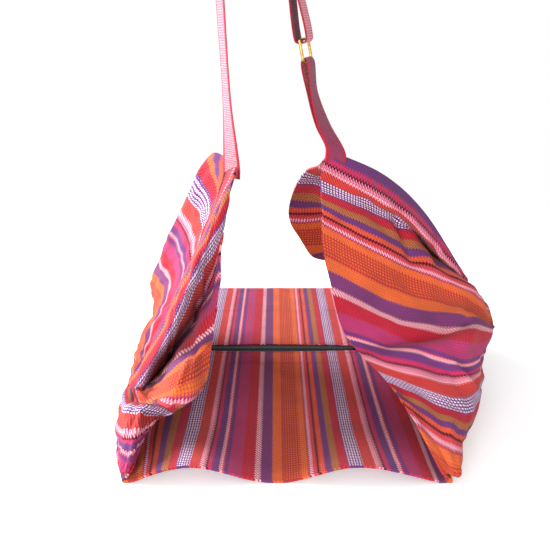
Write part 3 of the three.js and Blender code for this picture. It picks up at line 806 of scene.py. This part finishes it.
def strap_path():
    """The strap's middle line, its width directions, and the place at the ring where it turns back."""
    low = RING_BAR_HEIGHT - BAR_TO_STRAP
    straight_from = ADJUSTER_REACH - ADJUSTER_TRAVEL - ADJUSTER_LENGTH / 2
    straight_to = ADJUSTER_REACH + ADJUSTER_TRAVEL + ADJUSTER_LENGTH / 2
    sewn_out = -LAYER_OFFSET - STRAP_THICKNESS - CLEARANCE
    start = np.array(hood_point(LEFT_SEAM[0], -1)) + [-STRAP_INSET, STRAP_INSET, 0]

    def left_run(share):
        height = start[2] + (TOP_Z - start[2]) * share
        return np.array([start[0] - share * LEFT_RUN_LEAN, STRAP_Y, height])

    def loop_side(side):
        shoulder_height, shoulder_out = LOOP_SHOULDER
        turn = [on_run(low + LOOP_HALF * h, side * LOOP_HALF * out) for h, out in LOOP_TURN]
        shoulder = on_run(straight_from * shoulder_height, side * LOOP_HALF * shoulder_out)
        return [on_run(straight_from, side * LAYER_OFFSET), shoulder, *turn]

    top_left = left_run(1)
    points = [
        start - UP * STRAP_TAIL,
        start,
        *[left_run(share) for share in LEFT_RUN_SHARES],
        np.array([top_left[0] + LOOP_HALF / 2, STRAP_Y, TOP_Z - LOOP_HALF]),
        np.array([(top_left[0] + on_run(straight_to, 0)[0]) / 2, STRAP_Y, TOP_Z]),
        on_run(straight_to + ADJUSTER_LENGTH, LAYER_OFFSET),
        on_run(straight_to, LAYER_OFFSET),
        on_run((straight_from + straight_to) / 2, LAYER_OFFSET),
        *loop_side(1),
    ]
    turn_back = len(points) - 0.5
    points += [
        *reversed(loop_side(-1)),
        on_run(ADJUSTER_REACH - BAR_TO_WRAP, -LAYER_OFFSET),
        on_run(ADJUSTER_REACH + WRAP_RISE, -LAYER_OFFSET - WRAP_NEAR),
        on_run(ADJUSTER_REACH + BAR_TO_WRAP, -ADJUSTER_BAR_OUT),
        on_run(ADJUSTER_REACH + WRAP_RISE, -ADJUSTER_BAR_OUT - WRAP_FAR),
        on_run(ADJUSTER_REACH - BAR_TO_WRAP, -ADJUSTER_BAR_OUT - WRAP_FAR),
        on_run(ADJUSTER_REACH - ADJUSTER_LENGTH / 2, sewn_out - CLEARANCE),
        on_run(ADJUSTER_REACH - SEWN_END_LENGTH, sewn_out),
    ]
    left_run_points = 2 + len(LEFT_RUN_SHARES)
    sides = [STRAP_SIDE] * 2 + [LEFT_RUN_SIDE] * (left_run_points - 2)
    sides += [RUN_ACROSS] * (len(points) - left_run_points)
    return np.array(points), np.array(sides), turn_back


def tab_path():
    start = np.array(hood_point(RIGHT_SEAM[0], 1)) + [STRAP_INSET, 0, 0]
    end = on_run(-RING_BAR_HEIGHT, 0)

    def turn(share):
        return min(1, TAB_TWIST * share)

    def layer(share, side):
        spread = LAYER_OFFSET + (BAR_TO_STRAP - LAYER_OFFSET) * share**2
        facing = unit(TAB_FACING + (RUN_OUT - TAB_FACING) * turn(share))
        bow = np.array([TAB_BOW * 4 * share * (1 - share), 0, 0])
        return start + (end - start) * share + bow + facing * side * spread

    rising = [layer(share, 1) for share in TAB_SHARES]
    falling = [layer(share, -1) for share in reversed(TAB_SHARES)]
    tail = UP * STRAP_TAIL
    turn_over = on_run(-RING_BAR_HEIGHT + BAR_TO_STRAP, 0)
    points = [rising[0] - tail, *rising, turn_over, *falling, falling[-1] - tail]
    passed = [0, *TAB_SHARES, 1, *reversed(TAB_SHARES), 0]
    sides = [unit(TAB_SIDE + (RUN_ACROSS - TAB_SIDE) * turn(share)) for share in passed]
    return np.array(points), np.array(sides)


def ribbon(name, points, sides, start, end, unshaded_side):
    """A length of webbing along a path, with rounded selvedges and its inner face marked for painted shade.
    """
    along_cells = int(round((end - start) * 10))
    across_cells = 12
    strap = new_grid(name, along_cells, across_cells)
    s = shares(strap)
    places = np.linspace(start, end, along_cells + 1)
    path = even_spline(points, places)
    side = unit(spline(sides, places))
    run = np.concatenate([[0], np.cumsum(np.linalg.norm(np.diff(path, axis=0), axis=1))])
    i = np.rint(s[:, 0] * along_cells).astype(int)
    middle = s[:, 1] - 0.5
    set_points(strap, path[i] + side[i] * (middle * STRAP_WIDTH)[:, None])
    set_uv(strap, np.stack([s[:, 1], run[i]], axis=1))
    group = strap.vertex_groups.new(name="edge")
    for vertex, share in enumerate(np.abs(middle)):
        group.add([vertex], 1.0 if share < 0.46 else 0.55, "REPLACE")
    thick = strap.modifiers.new("thickness", "SOLIDIFY")
    thick.thickness = STRAP_THICKNESS
    thick.offset = 0
    thick.vertex_group = "edge"
    apply_modifiers(strap)
    mark_painted_shade_face(strap, len(s), unshaded_side)
    smooth(strap, 50)
    return strap


def mark_painted_shade_face(strap, front_count, unshaded_side):
    """Marks the inner face, which gets painted shade. The solidified back copy of the grid follows its front
    copy in vertex order.
    """
    number = np.arange(len(strap.data.vertices))
    painted_shade = (number >= front_count) if unshaded_side > 0 else (number < front_count)
    attribute = strap.data.attributes.new("painted_shade_face", "FLOAT", "POINT")
    attribute.data.foreach_set("value", painted_shade.astype(np.float32))


def make_straps(material):
    points, sides, turn_back = strap_path()
    main = ribbon("strap_run", points, sides, 0, turn_back, 1)
    finish_piece(main, material, "bag", "webbing", "shoulder_strap")
    back = ribbon("strap_return", points, sides, turn_back, len(points) - 1, 1)
    back.data.materials.clear()
    back.data.materials.append(material)
    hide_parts("shoulder_strap")
    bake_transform(back)
    points, sides = tab_path()
    tab = ribbon("ring_tab", points, sides, 0, len(points) - 1, 1)
    finish_piece(tab, material, "bag", "webbing", "strap_tab")


def make_ring(material):
    """A round brass bar bent into a rounded oblong."""
    major = 0.02
    squareness = 0.25
    deselect()
    bpy.ops.mesh.primitive_torus_add(
        major_segments=72, minor_segments=16, major_radius=major, minor_radius=RING_BAR / 2
    )
    ring = bpy.context.object
    ring.name = "ring"
    co = np.zeros(len(ring.data.vertices) * 3)
    ring.data.vertices.foreach_get("co", co)
    co = co.reshape(-1, 3)
    turn = np.arctan2(co[:, 1], co[:, 0])
    outward = np.hypot(co[:, 0], co[:, 1]) - major
    half_across = STRAP_WIDTH / 2 + RING_SIDE_PLAY + RING_BAR / 2

    def oblong(angle):
        power = [np.sign(v) * np.abs(v) ** squareness for v in (np.cos(angle), np.sin(angle))]
        return np.stack([half_across * power[0], RING_BAR_HEIGHT * power[1]], axis=1)

    step = math.pi / 72
    along = unit(oblong(turn + step) - oblong(turn - step))
    normal = np.stack([along[:, 1], -along[:, 0]], axis=1)
    flat = oblong(turn) + normal * outward[:, None]
    in_plane = flat[:, :1] * RUN_ACROSS + flat[:, 1:] * RUN_UP
    set_points(ring, np.array(RING_CENTRE) + in_plane + co[:, 2:] * RUN_OUT)
    active(ring)
    bpy.ops.object.mode_set(mode="EDIT")
    bpy.ops.mesh.select_all(action="SELECT")
    bpy.ops.mesh.normals_make_consistent(inside=False)
    bpy.ops.object.mode_set(mode="OBJECT")
    smooth(ring, 60)
    finish_piece(ring, material, "strap_ring", "ring_brass", "strap_ring")


def rounded_copy(node, name, width):
    """A copy of a construction solid with its edges rounded."""
    deselect()
    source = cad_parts[node]
    copy = bpy.data.objects.new(name, source.data.copy())
    bpy.context.scene.collection.objects.link(copy)
    active(copy)
    bpy.ops.object.mode_set(mode="EDIT")
    bpy.ops.mesh.select_all(action="SELECT")
    bpy.ops.mesh.remove_doubles(threshold=1e-6)
    bpy.ops.mesh.dissolve_limited(angle_limit=math.radians(2))
    bpy.ops.object.mode_set(mode="OBJECT")
    edge = copy.modifiers.new("edge", "BEVEL")
    edge.width = width
    edge.segments = 3
    edge.limit_method = "ANGLE"
    edge.angle_limit = math.radians(40)
    apply_modifiers(copy)
    smooth(copy, 35)
    return copy


# Zip

TOOTH_PITCH = 0.0025


def make_teeth(node, material):
    """One coil tooth, copied along its half of the zip."""
    low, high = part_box(node)
    deselect()
    bpy.ops.mesh.primitive_uv_sphere_add(segments=10, ring_count=6, radius=0.5)
    tooth = bpy.context.object
    tooth.name = node + "_teeth"
    size = high - low
    start = (low.x + TOOTH_PITCH / 2, (low.y + high.y) / 2, (low.z + high.z) / 2)
    active(tooth)
    tooth.scale = (TOOTH_PITCH * 0.8, size.y, size.z)
    tooth.location = start
    bpy.ops.object.transform_apply(location=True, rotation=True, scale=True)
    row = tooth.modifiers.new("row", "ARRAY")
    row.use_relative_offset = False
    row.use_constant_offset = True
    row.constant_offset_displace = (TOOTH_PITCH, 0, 0)
    row.count = int(size.x / TOOTH_PITCH)
    apply_modifiers(tooth)
    smooth(tooth, 60)
    finish_piece(tooth, material, "bag", "zip_coil", node)


def make_zip():
    tape = zip_tape()
    coil = metal("zip_coil", (18, 18, 22), (38, 38, 44), 0.35, 0.0)
    paint = metal("zip_metal", (22, 22, 26), (52, 52, 58), 0.25)
    for place in ("front", "back"):
        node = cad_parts["zip_tape_" + place]
        node.data.materials.clear()
        node.data.materials.append(tape)
        make_teeth("zip_coil_" + place, coil)
    for place in ("left", "right"):
        stop = rounded_copy("zip_stop_" + place, "zip_end_" + place, 0.0003)
        finish_piece(stop, paint, "bag", "zip_metal", "zip_stop_" + place)
    slider = rounded_copy("zip_slider", "zip_runner", 0.0004)
    finish_piece(slider, paint, "zip_slider", "zip_metal", "zip_slider")
    pull = rounded_copy("zip_pull", "zip_tongue", 0.0004)
    finish_piece(pull, paint, "zip_pull", "zip_metal", "zip_pull")


STITCH_LENGTH = 0.0026
STITCH_PITCH = 0.0042
STITCH_THICKNESS = 0.0006
POCKET_STITCH_INSET = 0.004
ZIP_STITCH_INSET = 0.003


def make_stitches(name, start, length, y, material):
    """A row of stitches along the floor, one stitch copied along X."""
    deselect()
    bpy.ops.mesh.primitive_uv_sphere_add(segments=8, ring_count=6, radius=0.5)
    stitch = bpy.context.object
    stitch.name = name
    stitch.scale = (STITCH_LENGTH, STITCH_THICKNESS, STITCH_THICKNESS)
    stitch.location = (start, y, FLOOR_MIDDLE + CLOTH_THICKNESS / 2 + STITCH_THICKNESS / 3)
    active(stitch)
    bpy.ops.object.transform_apply(location=True, rotation=True, scale=True)
    row = stitch.modifiers.new("row", "ARRAY")
    row.use_relative_offset = False
    row.use_constant_offset = True
    row.constant_offset_displace = (STITCH_PITCH, 0, 0)
    row.count = int(length / STITCH_PITCH)
    apply_modifiers(stitch)
    smooth(stitch, 60)
    return finish_piece(stitch, material, "bag", "striped_cloth")


def make_floor_stitches():
    dark = thread("stitch_thread", (92, 20, 40))
    low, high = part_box("pocket_panel")
    start = low.x + POCKET_STITCH_INSET
    length = high.x - low.x - 2 * POCKET_STITCH_INSET
    make_stitches("pocket_stitches_back", start, length, high.y - POCKET_STITCH_INSET, dark)
    make_stitches("pocket_stitches_front", start, length, low.y + POCKET_STITCH_INSET, dark)
    for name, side in (("zip_stitches_front", -1), ("zip_stitches_back", 1)):
        y = ZIP_Y + side * (ZIP_SLOT_MIDDLE_WIDTH / 2 + ZIP_STITCH_INSET)
        make_stitches(name, -ZIP_LENGTH / 2, ZIP_LENGTH, y, dark)


POCKET_RIM = 0.008
POCKET_CELLS = 40


def make_pocket(material):
    """The pocket's backing cloth under the floor."""
    low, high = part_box("pocket_panel")
    pocket = new_grid("pocket_cloth", POCKET_CELLS, POCKET_CELLS)
    s = shares(pocket)
    x = low.x + (high.x - low.x) * s[:, 0]
    y = low.y + (high.y - low.y) * s[:, 1]
    edge = np.minimum(np.minimum(x - low.x, high.x - x), np.minimum(y - low.y, high.y - y))
    rise = high.z - low.z - CLOTH_THICKNESS
    z = low.z + CLOTH_THICKNESS / 2 + rise * np.clip(1 - edge / POCKET_RIM, 0, 1)
    set_points(pocket, np.stack([x, y, z], axis=1))
    set_uv(pocket, np.stack([x / REPEAT + FLOOR_MIDDLE_PHASE, y], axis=1))
    thick = pocket.modifiers.new("thickness", "SOLIDIFY")
    thick.thickness = CLOTH_THICKNESS
    thick.offset = 0
    apply_modifiers(pocket)
    smooth(pocket, 60)
    finish_piece(pocket, material, "bag", "pocket_cloth", "pocket_panel")


LENGTH_STEPS = 200


def main():
    make_stage()
    cloth_material = striped_cloth()
    strap_material = webbing()
    brass = metal("ring_brass", (168, 122, 58), (212, 170, 96), 0.22)
    cloth = make_cloth(cloth_material)
    spine = cloth_surface(np.linspace(0, 1, LENGTH_STEPS), np.array([0.5]))[:, 0]
    make_pocket(cloth_material)
    make_floor_stitches()
    make_straps(strap_material)
    make_ring(brass)
    adjuster = rounded_copy("strap_slider", "adjuster", 0.0005)
    finish_piece(adjuster, brass, "strap_slider", "ring_brass", "strap_slider")
    make_zip()


main()
